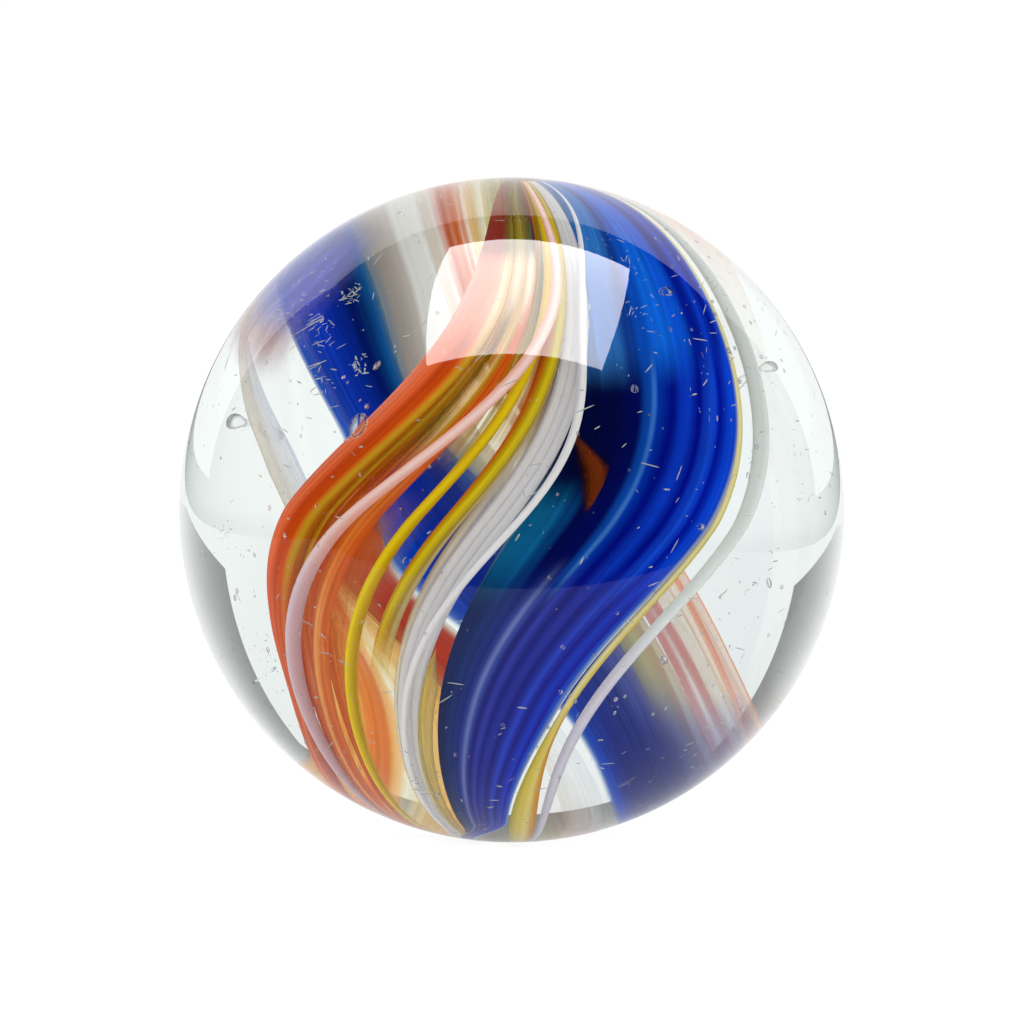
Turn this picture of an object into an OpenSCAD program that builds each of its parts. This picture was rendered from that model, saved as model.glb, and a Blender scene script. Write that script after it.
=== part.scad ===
// Cane-cut glass marble: a clear ball with coloured strands wound round its core.
// The strands are one drawn-out cane. Every level of the ball holds the same
// cross-section of that cane, turned about the axis and made smaller towards the
// two cut-off marks, where the strands come out at the surface.
// Origin at the ball's centre, +Z along the cane. Millimetres and degrees.
// A strand's place is its angle round the axis, from the front towards +X.

/* [Ball] */
// Diameter of the ball
ball_d = 25; // [20:0.5:40]

/* [Cane] */
// Turn of the strands from the middle of the ball to their widest swing
cane_turn = 51; // [20:1:80]
// How much of that swing is done at a cut-off mark, as an angle of its sine
cane_swing = 129; // [90:1:160]
// Size of the cane at a cut-off mark, as a share of its size in the middle
cane_end = 0.2; // [0.15:0.01:0.35]
// How the cane bellies out: 1 is a double cone, 2 is a round belly
cane_belly = 1.4; // [1.2:0.05:2]
// How bluntly the cane closes at the cut-off marks
cane_shoulder = 0.85; // [0.6:0.05:1]

/* [Threads] */
// Thickness of the rose thread, which lies over the amber ribbon
rose_d = 0.4; // [0.25:0.05:0.5]
// Clear glass between the amber ribbon and the rose thread
rose_gap = 0.5; // [0.3:0.05:0.8]
// Thickness of the yellow thread
yellow_d = 0.45; // [0.3:0.05:0.5]
// Distance of the yellow thread from the axis
yellow_depth = 5.6; // [5.4:0.05:6]
// Thickness of the olive strand
olive_d = 0.65; // [0.3:0.05:0.65]
// How much further out than the fine white threads the olive strand lies
olive_lift = 0.2; // [0.1:0.05:0.4]
// Thickness of each fine white thread
fine_d = 0.3; // [0.15:0.01:0.3]
// How far the fine white threads lie over the blue ribbon's inner edge
fine_lift = 1; // [0.95:0.05:1.3]
// Number of fine white threads side by side
fine_count = 3; // [1:1:3]
// Thickness of the bright thread, which crosses over the fine ones
bright_d = 0.3; // [0.2:0.05:0.5]
// Clear glass between the fine white threads and the bright thread
bright_gap = 0.2; // [0.05:0.05:0.4]
// Thickness of the pale edge beside the blue ribbon
pale_d = 0.35; // [0.2:0.05:0.45]
// Distance of the pale edge from the axis
pale_depth = 6.5; // [6.4:0.05:6.6]
// Thickness of the two lone threads
lone_d = 0.45; // [0.3:0.05:0.55]
// Distance of the front lone thread from the axis
lone_depth = 7.1; // [7:0.05:7.4]
// Clear glass between the ribbons on the far side and the lone thread over them
far_lone_gap = 0.15; // [0.1:0.05:0.4]
// Thickness of the cream thread on the far side
cream_d = 0.35; // [0.2:0.05:0.4]
// Thickness of the ruby thread on the far side
ruby_d = 0.45; // [0.3:0.05:0.5]

/* [Ribbons] */
// Thickness of the orange ribbon
orange_thick = 0.6; // [0.3:0.05:0.65]
// Distance of the orange ribbon from the axis
orange_depth = 6.2; // [6:0.05:6.4]
// Thickness of the amber ribbon
amber_thick = 0.5; // [0.3:0.05:0.6]
// Distance of the amber ribbon from the axis
amber_depth = 5.9; // [5.6:0.05:6.1]
// Thickness of the blue ribbon
blue_thick = 0.7; // [0.3:0.05:0.75]
// Distance of the blue ribbon's inner edge from the axis
blue_inner_depth = 4.2; // [3.9:0.05:4.4]
// Distance of the blue ribbon's outer edge from the axis
blue_outer_depth = 6.5; // [6.2:0.05:6.6]
// Thickness of the ribbons on the far side
far_thick = 0.5; // [0.3:0.05:0.5]
// Distance of the ribbons on the far side from the axis, at the middle level
far_depth = 7; // [6.5:0.05:7.1]
// How much wider than the cane the far side spreads away from the middle level
far_flare = 0.42; // [0:0.02:0.5]

/* [Hidden] */

$fn = 96;
thread_sides = 6;
fine_sides = 4;
ribbon_steps = 4;
blue_steps = 9;
ball_r = ball_d / 2;

// Levels of the sweep, as shares of the ball's radius: closer near the cut-off
// marks, and running a little past the ball so that its surface trims the strands
half_levels = 9;
overrun = 1.03;
function spread(t) = (t + sin(90 * t)) / 2;
levels = [
    -overrun,
    for (i = [-half_levels:half_levels]) spread(i / half_levels),
    overrun,
];

// The cane's law: its size and its turn at a level
function size_at(level) =
    let (closed = pow(abs(level), cane_belly))
    cane_end + (1 - cane_end) * pow(max(0, 1 - closed), cane_shoulder);
function turn_at(level) = cane_turn * sin(cane_swing * level);

// Where the strands leave the cane's law. Above the middle the front ones are
// squeezed together and the far ones fan out; below it the far ones swell. Away
// from the middle the far ones also flare outwards and are wound further round.
squeeze_level = 0.55;
squeeze_run = 0.3;
swell_level = -0.15;
swell_run = 0.15;
fan_level = 0.17;
fan_run = 0.15;
flare_level = 0.37;
flare_run = 0.25;
far_twist = 16;
function hump(level, middle, run) = exp(-((level - middle) / run) ^ 2);
function ramp(level, middle, run) =
    (1 + sin(90 * max(-1, min(1, (level - middle) / run)))) / 2;
function flare(level) = ramp(abs(level), flare_level, flare_run);

// Edges of the ribbons and middles of the threads, in the order in which they lie
// round the axis: the place at the middle level, the creep over one radius, and
// what the squeeze, the swell and the fan add
orange_edges = [[-76, 8, 0, 0, 0], [-61, 4, 5, 0, 0]];
amber_edges = [[-59.3, 4, 5, 0, 0], [-42, 0, 0, 0, 0]];
rose_line = [-48, 14, 6, 0, 0];
yellow_line = [-31.5, -4, -1.5, 0, 0];
olive_line = [-19.5, -9, -4, 0, 0];
fine_line = [-9.5, -13, -6, 0, 0];
fine_pitch = 3.5;
bright_line = [1.5, 0, -20, 0, 0];
blue_edges = [[3, -12, -30, 0, 0], [59.5, -1, 0, 0, 0]];
pale_line = [63.5, -2, 0, 0, 0];
lone_line = [69.5, -5, 0, 0, 0];
far_orange_edges = [[164.5, -8, 0, 0, -14], [168.6, -5, 0, 0, -7]];
far_cream_line = [171.3, -4.5, 0, 0, -7.7];
far_red_edges = [[173.8, -4, 0, 0, 0], [177.3, -4, 0, 0, -13]];
far_grey_edges = [[178.5, -4, 0, 0, -13], [184.2, 0, 0, 0, -11]];
far_blue_edges = [[185.5, 0, 0, 0, -11], [198.5, 5, 8, 18, 0]];
far_lone_line = [208.5, 20, 0, 15, 0];
ruby_line = [201.7, -10, 0, 18, 0];
gold_edges = [[205.2, -20, 0, 18, 0], [243, 12, 0, 0, 0]];
function place_at(line, level) =
    line * [
        1,
        level,
        hump(level, squeeze_level, squeeze_run),
        hump(level, swell_level, swell_run),
        ramp(level, fan_level, fan_run),
    ];
function far_place_at(line, level) =
    place_at(line, level) - far_twist * sign(level) * flare(level);
function widened(depth, level) = depth * (1 + far_flare * flare(level));

// Three far strands end inside the ball: the level of each tip, how far below it the
// strand has its full width, and what is left of that width at the tip itself
red_top = 0.02;
red_tip = 0.1;
ruby_top = -0.1;
ruby_tip = 0.1;
gold_top = -0.04;
gold_tip = 0.32;
blunt_tip = 0.15;
least_step = 0.03;
function tapered(level, top, tip) = max(blunt_tip, min(1, (top - level) / tip));
function levels_below(top) = [for (level = levels) if (level < top - least_step) level, top];

// Distances from the axis that follow from other sizes
rose_depth = amber_depth + amber_thick / 2 + rose_gap + rose_d / 2;
fine_depth = blue_inner_depth + fine_lift;
olive_depth = fine_depth + olive_lift;
bright_depth = fine_depth + fine_d / 2 + bright_gap + bright_d / 2;
far_lone_depth = far_depth + far_thick / 2 + far_lone_gap + lone_d / 2;

// A point of the cane's cross-section from its place and its distance from the axis
function polar(place, depth) = [depth * sin(place), -depth * cos(place)];
function turned(p, angle) =
    [p.x * cos(angle) - p.y * sin(angle), p.x * sin(angle) + p.y * cos(angle)];

// Cross-section of a thread
function thread_section(place, depth, d, sides) = [
    for (i = [0:sides - 1])
        let (angle = 360 * i / sides)
        polar(place, depth) + d / 2 * [cos(angle), sin(angle)]
];

// Cross-section of a ribbon between two places, thinner towards its two edges
edge_share = 0.35;
function ribbon_point(places, depths, thick, share, side) =
    let (fullness = sqrt(1 - (1 - edge_share ^ 2) * (2 * share - 1) ^ 4))
    polar(
        places[0] + (places[1] - places[0]) * share,
        depths[0] + (depths[1] - depths[0]) * share + side * fullness * thick / 2
    );
function ribbon_section(places, depths, thick, steps) = [
    for (i = [0:steps]) ribbon_point(places, depths, thick, i / steps, 1),
    for (i = [steps:-1:0]) ribbon_point(places, depths, thick, i / steps, -1),
];

// Sweeps a cross-section along the cane. The section is a function of the level,
// so that a strand may creep round the others as it climbs.
module sweep(section, levels = levels) {
    count = len(section(0));
    points = [
        for (level = levels)
            for (p = section(level))
                let (q = size_at(level) * turned(p, turn_at(level)))
                [q.x, q.y, level * ball_r]
    ];
    walls = [
        for (row = [0:len(levels) - 2])
            for (i = [0:count - 1])
                let (
                    a = row * count + i,
                    b = row * count + (i + 1) % count,
                    c = b + count,
                    d = a + count
                )
                each [[a, c, b], [a, d, c]]
    ];
    bottom_cap = [for (i = [0:count - 1]) i];
    top_cap = [for (i = [count - 1:-1:0]) (len(levels) - 1) * count + i];
    polyhedron(points, concat(walls, [bottom_cap, top_cap]));
}

// The ball lies with its own poles on the Y axis, away from the strands' ends
module ball() {
    rotate([90, 0, 0])
        sphere(d = ball_d);
}

module thread(line, depth, d, sides = thread_sides) {
    sweep(function(level) thread_section(place_at(line, level), depth, d, sides));
}

module ribbon(edges, depths, thick, steps) {
    sweep(function(level)
        ribbon_section([for (edge = edges) place_at(edge, level)], depths, thick, steps));
}

module far_thread(line, depth, d, sides = thread_sides) {
    sweep(function(level)
        thread_section(far_place_at(line, level), widened(depth, level), d, sides));
}

module far_ribbon(edges, steps) {
    sweep(
        function(level)
            ribbon_section(
                [for (edge = edges) far_place_at(edge, level)],
                widened(far_depth, level) * [1, 1], far_thick, steps
            )
    );
}

// A far ribbon that ends in a tip, narrowing towards its first edge
module far_tipped_ribbon(edges, top, tip, steps) {
    sweep(
        function(level)
            let (
                first = far_place_at(edges[0], level),
                width = far_place_at(edges[1], level) - first
            )
            ribbon_section(
                [first, first + width * tapered(level, top, tip)],
                widened(far_depth, level) * [1, 1],
                far_thick * tapered(level, top, tip / 2), steps
            ),
        levels_below(top)
    );
}

module far_tipped_thread(line, d, top, tip) {
    sweep(
        function(level)
            thread_section(
                far_place_at(line, level), widened(far_depth, level),
                d * tapered(level, top, tip), thread_sides
            ),
        levels_below(top)
    );
}

module orange_shape()
    ribbon(orange_edges, [orange_depth, orange_depth], orange_thick, ribbon_steps);
module amber_shape()
    ribbon(amber_edges, [amber_depth, amber_depth], amber_thick, ribbon_steps);
module rose_shape() thread(rose_line, rose_depth, rose_d);
module yellow_shape() thread(yellow_line, yellow_depth, yellow_d);
module olive_shape() thread(olive_line, olive_depth, olive_d);
module fine_white_shape() {
    for (i = [0:fine_count - 1])
        thread(fine_line + [i * fine_pitch, 0, 0, 0, 0], fine_depth, fine_d, fine_sides);
}
module bright_shape() thread(bright_line, bright_depth, bright_d);
module blue_shape()
    ribbon(blue_edges, [blue_inner_depth, blue_outer_depth], blue_thick, blue_steps);
module pale_shape() thread(pale_line, pale_depth, pale_d);
module lone_shape() thread(lone_line, lone_depth, lone_d);
module far_orange_shape() far_ribbon(far_orange_edges, 3);
module far_cream_shape() far_thread(far_cream_line, far_depth, cream_d, fine_sides);
module far_red_shape() far_tipped_ribbon(far_red_edges, red_top, red_tip, 2);
module far_grey_shape() far_ribbon(far_grey_edges, 2);
module far_blue_shape() far_ribbon(far_blue_edges, 5);
module far_lone_shape() far_thread(far_lone_line, far_lone_depth, lone_d);
module far_ruby_shape() far_tipped_thread(ruby_line, ruby_d, ruby_top, ruby_tip);
module far_gold_shape() far_tipped_ribbon(gold_edges, gold_top, gold_tip, ribbon_steps);

// Every strand ends where it comes out at the ball's surface
module trimmed() {
    intersection() {
        children();
        ball();
    }
}

module orange_ribbon() color("orangered") trimmed() orange_shape();
module amber_ribbon() color("darkorange") trimmed() amber_shape();
module rose_thread() color("mistyrose") trimmed() rose_shape();
module yellow_thread() color("gold") trimmed() yellow_shape();
module olive_strand() color("goldenrod") trimmed() olive_shape();
module fine_white_threads() color("gainsboro") trimmed() fine_white_shape();
module bright_thread() color("white") trimmed() bright_shape();
module blue_ribbon() color("mediumblue") trimmed() blue_shape();
module pale_edge() color("khaki") trimmed() pale_shape();
module lone_thread() color("whitesmoke") trimmed() lone_shape();
module far_orange_ribbon() color("darkorange") trimmed() far_orange_shape();
module far_cream_thread() color("cornsilk") trimmed() far_cream_shape();
module far_red_ribbon() color("firebrick") trimmed() far_red_shape();
module far_grey_ribbon() color("darkgray") trimmed() far_grey_shape();
module far_blue_ribbon() color("mediumblue") trimmed() far_blue_shape();
module far_lone_thread() color("whitesmoke") trimmed() far_lone_shape();
module far_ruby_thread() color("firebrick") trimmed() far_ruby_shape();
module far_gold_ribbon() color("orange") trimmed() far_gold_shape();

// The clear glass fills the ball round the strands
module clear_body() {
    color("aliceblue", 0.35)
        difference() {
            ball();
            orange_shape();
            amber_shape();
            rose_shape();
            yellow_shape();
            olive_shape();
            fine_white_shape();
            bright_shape();
            blue_shape();
            pale_shape();
            lone_shape();
            far_orange_shape();
            far_cream_shape();
            far_red_shape();
            far_grey_shape();
            far_blue_shape();
            far_lone_shape();
            far_ruby_shape();
            far_gold_shape();
        }
}

clear_body();
orange_ribbon();
amber_ribbon();
rose_thread();
yellow_thread();
olive_strand();
fine_white_threads();
bright_thread();
blue_ribbon();
pale_edge();
lone_thread();
far_orange_ribbon();
far_cream_thread();
far_red_ribbon();
far_grey_ribbon();
far_blue_ribbon();
far_lone_thread();
far_ruby_thread();
far_gold_ribbon();
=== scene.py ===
"""Cane-cut glass marble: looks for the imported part.

A clear glass ball holds ribbons and threads of coloured glass. All of them follow one
law, the cane's: at every level of the ball the same cross-section is turned about the
axis and made smaller towards the two cut-off marks. Metres, +Z along the cane.
"""

from math import asin, cos, degrees, pi, radians, sin, sqrt, tan

import bmesh
import bpy
from mathutils import Matrix, Vector


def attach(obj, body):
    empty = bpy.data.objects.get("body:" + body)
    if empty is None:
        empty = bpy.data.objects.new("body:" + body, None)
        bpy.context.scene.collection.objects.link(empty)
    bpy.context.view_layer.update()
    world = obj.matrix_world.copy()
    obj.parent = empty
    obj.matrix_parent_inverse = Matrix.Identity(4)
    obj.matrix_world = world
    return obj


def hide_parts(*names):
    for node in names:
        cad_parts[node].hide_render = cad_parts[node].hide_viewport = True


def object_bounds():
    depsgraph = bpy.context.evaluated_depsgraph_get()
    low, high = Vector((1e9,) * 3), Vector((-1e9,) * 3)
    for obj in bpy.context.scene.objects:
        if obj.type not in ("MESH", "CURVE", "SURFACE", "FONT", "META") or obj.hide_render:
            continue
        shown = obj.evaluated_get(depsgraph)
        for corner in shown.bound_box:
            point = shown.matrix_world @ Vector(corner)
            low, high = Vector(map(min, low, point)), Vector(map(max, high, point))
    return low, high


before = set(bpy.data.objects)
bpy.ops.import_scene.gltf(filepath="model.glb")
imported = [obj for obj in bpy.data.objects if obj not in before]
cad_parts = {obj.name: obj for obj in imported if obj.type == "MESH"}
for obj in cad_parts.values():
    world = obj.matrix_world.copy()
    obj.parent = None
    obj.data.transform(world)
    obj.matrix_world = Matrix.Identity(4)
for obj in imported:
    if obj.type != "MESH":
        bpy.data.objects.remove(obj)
cad_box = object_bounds()

MM = 0.001

# --- sizes ---
BALL_R = min(high - low for low, high in zip(*cad_box)) / 2
BALL_CUTS = 96  # faces along a side of the cube that the ball is blown from
GLASS_INDEX = 1.5

# The cane's law. A level is -1 at the bottom of the ball and 1 at its top. The part's
# source has the same law down to the flare; foot, toe and low are bends near the bottom
# that only the looks have.
CURVES = {  # the level of each curve's middle, and its run to each side
    "Squeeze": (0.55, 0.3),
    "Swell": (-0.15, 0.15),
    "Fan": (0.17, 0.15),
    "Flare": (0.37, 0.25),
    "Foot": (0.7, 0.25),
    "Toe": (0.88, 0.08),
    "Low": (0.55, 0.25),
}
CANE = {
    "Turn": radians(51),  # how far the section turns to each side of its middle
    "Swing": radians(129),  # how fast it does, per level
    "End Size": 0.2,  # of the section at the cut-off marks, against the middle
    "Belly": 1.4,  # how long it stays wide
    "Shoulder": 0.85,  # how fully it rounds off
    **{f"{label} Level": level for label, (level, _) in CURVES.items()},
    **{f"{label} Run": run for label, (_, run) in CURVES.items()},
}
FAR_SIDE = {"Flare": 0.42, "Twist": radians(16)}  # what the far strands have on top of it

STRAND_RINGS = 220
CLOSED_FROM = 0.9999  # from this share of a strand's length on, a ring is a point
MERGE_WITHIN = 0.001 * MM
SKIN = 0.04 * MM  # clear glass left over a strand's cut-off end

SENSOR = 36.0  # mm
FRAME_PIXELS = 1024
BALL_PIXELS = 332.6  # the ball's radius in the frame
BALL_CENTRE = (511.65, 509.77)  # from the left and from the top
CAMERA_AWAY = 0.5
CAMERA_NEAR = 0.01
CAMERA_UP = radians(5.1)
CAMERA_ROLL = radians(1.75)


# --- node trees ---
def operator(operation, swapped=False):
    """What an operator does between fields: it adds a Math node."""

    def apply(field, other):
        values = (other, field) if swapped else (field, other)
        return field.nodes.math(operation, *values)

    return apply


class Field:
    """A socket that adds and multiplies like a number, by way of Math nodes."""

    def __init__(self, nodes, socket):
        self.nodes = nodes
        self.socket = socket

    __add__ = __radd__ = operator("ADD")
    __sub__ = operator("SUBTRACT")
    __rsub__ = operator("SUBTRACT", swapped=True)
    __mul__ = __rmul__ = operator("MULTIPLY")
    __truediv__ = operator("DIVIDE")
    __pow__ = operator("POWER")


def function(operation):
    """A method that adds a Math node."""
    return lambda nodes, *values: nodes.math(operation, *values)


class Nodes:
    """A node tree that is written as sums and calls."""

    def __init__(self, tree):
        self.tree = tree

    def add(self, kind, inputs=None, **settings):
        node = self.tree.nodes.new(kind)
        for name, value in settings.items():
            setattr(node, name, value)
        for key, value in (inputs or {}).items():
            self.feed(node.inputs[key], value)
        return node

    def feed(self, socket, value):
        if isinstance(value, Field):
            value = value.socket
        if isinstance(value, bpy.types.Node):
            value = value.outputs[0]
        if isinstance(value, bpy.types.NodeSocket):
            self.tree.links.new(value, socket)
        else:
            socket.default_value = value

    def out(self, node, key=0):
        return Field(self, node.outputs[key])

    def math(self, operation, *values):
        node = self.add("ShaderNodeMath", dict(enumerate(values)), operation=operation)
        return self.out(node)

    sine = function("SINE")
    cosine = function("COSINE")
    absolute = function("ABSOLUTE")
    sign = function("SIGN")
    least = function("MINIMUM")
    most = function("MAXIMUM")
    above = function("GREATER_THAN")

    def smooth_step(self, value, low, high):
        node = self.add(
            "ShaderNodeMapRange",
            {"Value": value, "From Min": low, "From Max": high},
            interpolation_type="SMOOTHSTEP",
        )
        return self.out(node, "Result")

    def vector(self, x, y, z):
        return self.out(self.add("ShaderNodeCombineXYZ", {0: x, 1: y, 2: z}))

    def parts(self, vector):
        node = self.add("ShaderNodeSeparateXYZ", {0: vector})
        return [self.out(node, i) for i in range(3)]

    def vector_math(self, operation, *vectors, key=0, **more):
        inputs = {**dict(enumerate(vectors)), **more}
        return self.out(self.add("ShaderNodeVectorMath", inputs, operation=operation), key)

    def length(self, vector):
        return self.vector_math("LENGTH", vector, key="Value")

    def scaled(self, vector, factor):
        return self.vector_math("SCALE", vector, Scale=factor)

    def unit(self, vector):
        return self.vector_math("NORMALIZE", vector)


def geometry_tree(name, floats=(), ints=(), vectors=()):
    """A Geometry Nodes tree with an input for each size and for the material."""
    tree = bpy.data.node_groups.new(name, "GeometryNodeTree")
    tree.interface.new_socket("Geometry", in_out="OUTPUT", socket_type="NodeSocketGeometry")
    inputs = {
        "Geometry": ("Geometry",),
        "Float": floats,
        "Int": ints,
        "Vector": vectors,
        "Material": ("Material",),
    }
    for kind, labels in inputs.items():
        for label in labels:
            tree.interface.new_socket(label, in_out="INPUT", socket_type=f"NodeSocket{kind}")
    nodes = Nodes(tree)
    entry = nodes.add("NodeGroupInput")
    return nodes, lambda label: nodes.out(entry, label)


def finish_tree(n, size, geometry):
    """Ends a tree with one smooth mesh in its material."""
    smooth = n.add("GeometryNodeSetShadeSmooth", {"Geometry": geometry})
    real = n.add("GeometryNodeRealizeInstances", {0: smooth})
    inputs = {"Geometry": real, "Material": size("Material")}
    n.add("NodeGroupOutput", {0: n.add("GeometryNodeSetMaterial", inputs)})
    return n.tree


def stored(n, geometry, name, value, domain):
    """The geometry with a value written on it, for the materials to read."""
    return n.add(
        "GeometryNodeStoreNamedAttribute",
        {"Geometry": geometry, "Name": name, "Value": value},
        data_type="FLOAT",
        domain=domain,
    )


def new_object(name, data):
    obj = bpy.data.objects.new(name, data)
    bpy.context.scene.collection.objects.link(obj)
    return obj


def grown(name, tree, values):
    """The plain mesh that a tree grows, with the modifier's inputs set by identifier."""
    obj = new_object(name, bpy.data.meshes.new(name))
    modifier = obj.modifiers.new("Grow", "NODES")
    modifier.node_group = tree
    for item in tree.interface.items_tree:
        if item.item_type == "SOCKET" and item.in_out == "INPUT" and item.name in values:
            modifier[item.identifier] = values[item.name]
    bpy.context.view_layer.update()
    evaluated = obj.evaluated_get(bpy.context.evaluated_depsgraph_get())
    mesh = bpy.data.meshes.new_from_object(evaluated)
    obj.modifiers.remove(modifier)
    obj.data = mesh
    return obj


# --- the strands ---
# What a line of the cane has, in degrees: its place round the axis, and how far it leaves
# that place by level (creep), in two humps (squeeze, swell) and on three slopes.
LINE = ("Place", "Creep", "Squeeze", "Swell", "Fan", "Foot", "Toe")
EDGES = ("First", "Last")


def hump(n, level, middle, run):
    step = (level - middle) / run
    return n.math("EXPONENT", step * step * -1.0)


def slope(n, level, middle, run):
    step = n.least(n.most((level - middle) / run, -1.0), 1.0)
    return n.sine(step * (pi / 2)) * 0.5 + 0.5


def cane_point(n, size, place, depth, level):
    """Where the cane's law puts a point of its cross-section."""
    closed = n.absolute(level) ** size("Belly")
    end = size("End Size")
    shrink = end + (1.0 - end) * n.most(1.0 - closed, 0.0) ** size("Shoulder")
    angle = place + size("Turn") * n.sine(size("Swing") * level)
    reach = depth * shrink
    return n.vector(
        reach * n.sine(angle), reach * n.cosine(angle) * -1.0, size("Ball Radius") * level
    )


def strand_tree():
    """Grows one strand, or several side by side, between two lines of the cane."""
    edge_sizes = (f"{edge} {label}" for edge in EDGES for label in (*LINE, "Depth"))
    n, size = geometry_tree(
        "Cane strand",
        floats=("Ball Radius", "Skin", "Thickness", "Squareness", "Low Spread", "Ribs",
                "Rib Height", "Pitch", "Bottom", "Top", "Tip", *CANE, *FAR_SIDE, *edge_sizes),
        ints=("Copies", "Sides", "Rings"),
    )
    columns, rows = size("Sides") + 1.0, size("Rings") + 1.0
    grid = n.add(
        "GeometryNodeMeshGrid", {"Size Y": 2.0, "Vertices X": columns, "Vertices Y": rows}
    )
    one = n.add("GeometryNodeGeometryToInstance", {0: grid.outputs["Mesh"]})
    inputs = {"Geometry": one, "Amount": size("Copies")}
    several = n.add("GeometryNodeDuplicateElements", inputs, domain="INSTANCE")
    number = several.outputs["Duplicate Index"]
    numbered = stored(n, several.outputs["Geometry"], "copy", number, "INSTANCE")
    sheets = n.add("GeometryNodeRealizeInstances", {0: numbered})
    copy = n.out(n.add("GeometryNodeInputNamedAttribute", {"Name": "copy"}), "Attribute")

    # The sheet's own x runs once round the strand, its y from one end to the other
    x, run, _ = n.parts(n.add("GeometryNodeInputPosition"))
    around = (x + 0.5) * (2 * pi)
    spread = (run + n.sine(run * (pi / 2))) * 0.5
    level = (spread + 1.0) * (size("Top") - size("Bottom")) * 0.5 + size("Bottom")
    to_end = n.least(size("Top") - level, level - size("Bottom"))
    taper = n.least(to_end / size("Tip"), 1.0)
    open_share = 1.0 - n.above(n.absolute(run), CLOSED_FROM)
    across = 0.5 - n.cosine(around) * 0.5 * open_share
    rise = n.sine(around)
    bulge = n.absolute(rise) ** size("Squareness") * n.sign(rise)
    ribs = n.sine(across * size("Ribs") * (2 * pi)) * size("Rib Height") * n.absolute(rise)
    side = (bulge * size("Thickness") * 0.5 + ribs) * open_share * n.least(taper * 2.0, 1.0)

    def term(shape, label, where):
        return shape(n, where, size(f"{label} Level"), size(f"{label} Run"))

    down = level * -1.0
    flare = term(slope, "Flare", n.absolute(level))
    twist = size("Twist") * n.sign(level) * flare
    departures = {
        "Creep": level,
        "Squeeze": term(hump, "Squeeze", level),
        "Swell": term(hump, "Swell", level),
        "Fan": term(slope, "Fan", level),
        "Foot": term(slope, "Foot", down),
        "Toe": term(slope, "Toe", down),
    }

    def place_of(edge):
        place = size(f"{edge} Place")
        for label, departure in departures.items():
            place = place + size(f"{edge} {label}") * departure
        return place + size("Pitch") * copy - twist

    first = place_of("First")
    place = first + (place_of("Last") - first) * across * taper
    middle = size("First Depth") + (size("Last Depth") - size("First Depth")) * across
    low = term(slope, "Low", down)
    depth = middle * (1.0 + size("Flare") * flare + size("Low Spread") * low) + side
    point = cane_point(n, size, place, depth, level)
    room = size("Ball Radius") - size("Skin")
    inside = n.scaled(point, n.least(room / n.length(point), 1.0))

    named = stored(n, sheets, "across", across, "POINT")
    named = stored(n, named, "along", level, "POINT")
    placed = n.add("GeometryNodeSetPosition", {"Geometry": named, "Position": inside})
    closed = n.add(
        "GeometryNodeMergeByDistance", {"Geometry": placed, "Distance": MERGE_WITHIN}
    )
    turned_out = n.add("GeometryNodeFlipFaces", {0: closed})
    return finish_tree(n, size, turned_out)


STRAND_TREE = strand_tree()


def strand(node, slot, material, first, last, depths, thick, squareness=0.5, ribs=0,
           rib_height=0.0, copies=1, pitch=0.0, bottom=-1.0, top=1.0, tip=0.001, sides=48,
           low_spread=0.0, far=False, replaces=True):
    """A strand of coloured glass, or a veil, which replaces no node of the part.

    Its first and last lines and the pitch are in degrees, its depths, thickness and rib
    height in mm. Bottom, top and tip are levels.
    """
    values = {**CANE, **(FAR_SIDE if far else {})}
    for edge, line, depth in zip(EDGES, (first, last), depths):
        values[f"{edge} Depth"] = depth * MM
        for i, label in enumerate(LINE):
            values[f"{edge} {label}"] = radians(line[i]) if i < len(line) else 0.0
    values.update({
        "Ball Radius": BALL_R,
        "Skin": SKIN,
        "Thickness": thick * MM,
        "Squareness": squareness,
        "Low Spread": low_spread,
        "Ribs": float(ribs),
        "Rib Height": rib_height * MM,
        "Copies": copies,
        "Pitch": radians(pitch),
        "Bottom": bottom,
        "Top": top,
        "Tip": tip,
        "Sides": sides,
        "Rings": STRAND_RINGS,
        "Material": material,
    })
    piece = grown(node + "_glass", STRAND_TREE, values)
    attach(piece, "root")
    if replaces:
        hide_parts(node)


def thread(node, slot, material, line, depth, d, **more):
    """A strand that is as wide as it is thick."""
    half = degrees(d / 2 / depth)
    first, last = [[line[0] + side * half, *line[1:]] for side in (-1, 1)]
    strand(
        node, slot, material, first, last, (depth, depth), d, squareness=1.0, sides=16, **more
    )


# --- colours and finishes ---
WHITE = (1, 1, 1, 1)

GLASS_TONE = (238, 245, 243)
STRAIGHT_TONE = (250, 252, 252)  # the clear glass for light that passes straight through

# The patterns in coloured glass: how finely each runs across, along and from copy to copy,
# and its seed.
DRIFT = (3.0, 1.6, 7.3, 0.0)
STREAKS = (1.0, 0.9, 3.1, 20.0)
CLOUDS = (2.0, 9.0, 5.7, 40.0)
GAPS = (0.6, 1.3, 0.0, 60.0)
GAP_EDGES = (0.4, 0.7)
STREAK_STRENGTH = 4  # against the clouds
STRAND_ROUGHNESS = 0.6


def linear(channel):
    c = channel / 255
    return c / 12.92 if c <= 0.04045 else ((c + 0.055) / 1.055) ** 2.4


def colour(r, g, b):
    """A colour as it shows on a screen, 0 to 255."""
    return (linear(r), linear(g), linear(b), 1.0)


def new_material(name):
    material = bpy.data.materials.new(name)
    material.use_nodes = True
    material.node_tree.nodes.clear()
    return material, Nodes(material.node_tree)


def finish_material(n, share, first, second):
    """Ends a material with a share of the second shader over the first."""
    mix = n.add("ShaderNodeMixShader", {0: share, 1: first, 2: second})
    n.add("ShaderNodeOutputMaterial", {0: mix})


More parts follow.
